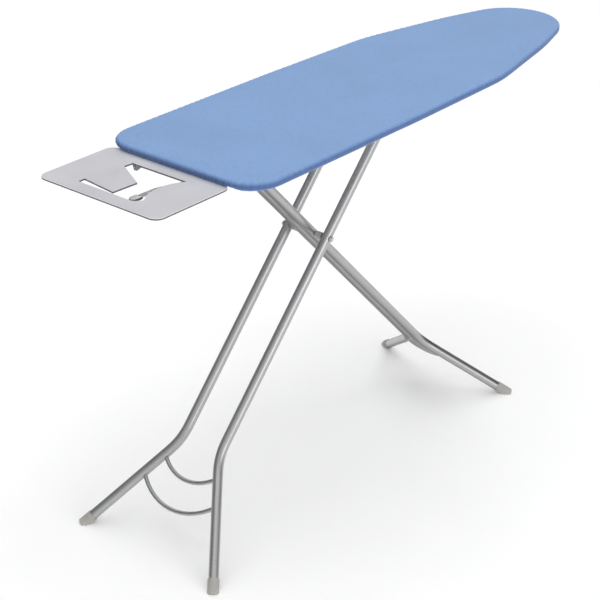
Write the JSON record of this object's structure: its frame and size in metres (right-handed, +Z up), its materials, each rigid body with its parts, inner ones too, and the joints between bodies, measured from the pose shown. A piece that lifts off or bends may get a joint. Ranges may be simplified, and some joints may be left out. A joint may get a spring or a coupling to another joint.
{
  "type": "ironing board",
  "caption": "Folding ironing board: padded cloth-covered top with a rounded nose, crossed steel tube legs with splayed capped feet, and a flat sheet-metal iron rest.",
  "frame": {"origin": "centre of the bounding box in plan, on the floor", "axes": "+X along the board from the iron rest towards the nose, +Y to the left, +Z up"},
  "size_m": [1.573, 0.4564, 0.93],
  "materials": {
    "cover_cotton": "matte",
    "cord": "matte",
    "foam": "matte",
    "deck_steel": "satin",
    "rest_steel": "satin",
    "tube_paint": "satin",
    "bright_steel": "satin",
    "foot_plastic": "matte",
    "black_plastic": "satin",
    "grip_plastic": "satin"
  },
  "bodies": {
    "board_top": {"ironing_cover": "cover_cotton", "cover_drawcord": "cord", "foam_pad": "foam", "deck_panel": "deck_steel", "cross_rail_wide_end": "deck_steel", "cross_rail_middle": "deck_steel", "cross_rail_nose": "deck_steel", "iron_rest_plate": "rest_steel", "iron_rest_beam": "deck_steel", "iron_rest_gusset": "deck_steel", "rest_screw_1": "bright_steel", "rest_screw_2": "bright_steel", "rest_screw_3": "bright_steel", "leg_pivot_bracket": "deck_steel", "leg_pivot_rod": "bright_steel", "slide_rail_left": "deck_steel", "slide_rail_right": "deck_steel", "lever_bracket": "deck_steel", "lever_pin": "bright_steel", "lever_spring": "bright_steel", "latch_bracket": "deck_steel", "latch_pin": "bright_steel"},
    "lever": {"height_lever": "bright_steel", "lever_grip": "grip_plastic"},
    "release_rod": {"push_rod": "bright_steel"},
    "latch": {"lock_latch": "bright_steel"},
    "inner_leg": {"inner_leg_tube_left": "tube_paint", "inner_leg_tube_right": "tube_paint", "leg_fork_web": "tube_paint", "inner_foot_cap_left": "foot_plastic", "inner_foot_cap_right": "foot_plastic", "inner_tube_plug_left": "black_plastic", "inner_tube_plug_right": "black_plastic", "crossing_axle": "bright_steel", "axle_nut_left": "bright_steel", "axle_nut_right": "bright_steel", "axle_spacer_left": "foot_plastic", "axle_spacer_right": "foot_plastic"},
    "outer_leg": {"outer_leg_tube_left": "tube_paint", "outer_leg_tube_right": "tube_paint", "outer_leg_brace_upper": "tube_paint", "outer_leg_brace_lower": "tube_paint", "outer_foot_cap_left": "foot_plastic", "outer_foot_cap_right": "foot_plastic", "outer_tube_plug_left": "black_plastic", "outer_tube_plug_right": "black_plastic", "slide_rod": "bright_steel"}
  },
  "joints": [
    {"name": "legs_fold", "type": "hinge", "parent": "board_top", "child": "inner_leg", "pos_m": [-0.39732, 0, 0.885], "axis": [0, -1, 0], "range_deg": [0, 45.15]},
    {"name": "cross_pivot", "type": "hinge", "parent": "inner_leg", "child": "outer_leg", "pos_m": [-0.1515, 0, 0.62], "axis": [0, -1, 0], "range_deg": [-90.4, 0]},
    {"name": "lever_press", "type": "hinge", "parent": "board_top", "child": "lever", "pos_m": [-0.5215, 0, 0.888], "axis": [0, 1, 0], "range_deg": [0, 5], "stiffness_Nm_per_rad": 1, "springref_deg": -8.59},
    {"name": "release_rod_slide", "type": "slide", "parent": "board_top", "child": "release_rod", "axis": [1, 0, 0], "range_m": [0, 0.0016]},
    {"name": "latch_lift", "type": "hinge", "parent": "board_top", "child": "latch", "pos_m": [0.0385, 0, 0.915], "axis": [0, -1, 0], "range_deg": [0, 10.1]}
  ],
  "couplings": [
    {"joint": "cross_pivot", "follows": "legs_fold", "ratio": -2},
    {"joint": "release_rod_slide", "follows": "lever_press", "m_per_rad": 0.018},
    {"joint": "latch_lift", "follows": "lever_press", "ratio": 2}
  ]
}
